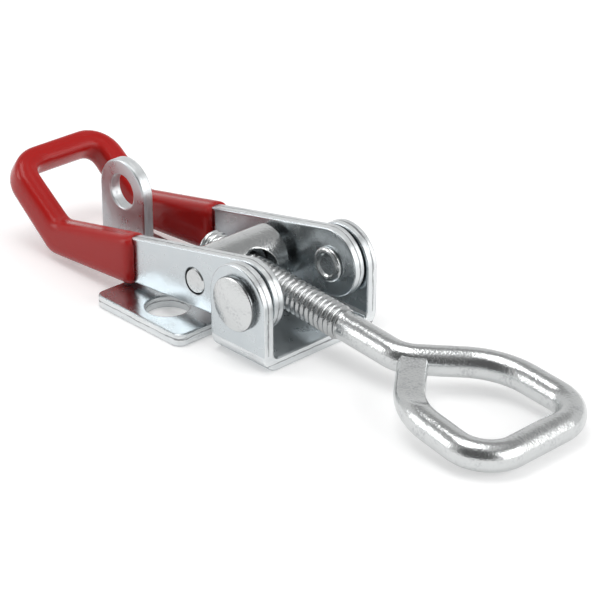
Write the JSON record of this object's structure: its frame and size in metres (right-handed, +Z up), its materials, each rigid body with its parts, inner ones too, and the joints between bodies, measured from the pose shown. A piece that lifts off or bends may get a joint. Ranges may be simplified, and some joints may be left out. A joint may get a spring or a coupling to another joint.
{
  "type": "over centre toggle latch",
  "caption": "Over centre toggle latch with a folded base, a padlock tab, a dipped loop handle and a threaded pull hook, shown closed",
  "frame": {"origin": "midway between the two mounting holes, on the underside of the base", "axes": "+X along the pull, towards the hook; +Y to the left seen from the handle; +Z up from the surface that the base is bolted to"},
  "size_m": [0.125, 0.0344, 0.0192],
  "materials": {
    "plated_sheet": "bright zinc plate on punched and folded sheet steel, satin",
    "plated_rivet": "bright zinc plate on a cold headed rivet",
    "plated_bar": "bright zinc plate on turned and rolled bar",
    "red_vinyl": "glossy dipped vinyl"
  },
  "bodies": {
    "base": {"base_bracket": "plated_sheet", "pivot_rivet_left": "plated_rivet", "pivot_rivet_right": "plated_rivet"},
    "handle": {"handle_lever": "plated_sheet", "handle_grip": "red_vinyl"},
    "trunnion": {"trunnion": "plated_bar"},
    "hook": {"pull_hook": "plated_bar"}
  },
  "joints": [
    {"name": "handle_pivot", "type": "hinge", "parent": "base", "child": "handle", "pos_m": [0.0205, 0, 0.01125], "axis": [0, 1, 0], "range_deg": [0, 150]},
    {"name": "trunnion_swing", "type": "hinge", "parent": "handle", "child": "trunnion", "pos_m": [0.00675, 0, 0.00935], "axis": [0, -1, 0], "range_deg": [0, 150]},
    {"name": "hook_reach", "type": "slide", "parent": "trunnion", "child": "hook", "axis": [0.9959, 0, -0.0906], "range_m": [-0.015, 0.003]}
  ],
  "couplings": [
    {"joint": "trunnion_swing", "follows": "handle_pivot", "ratio": 1}
  ]
}
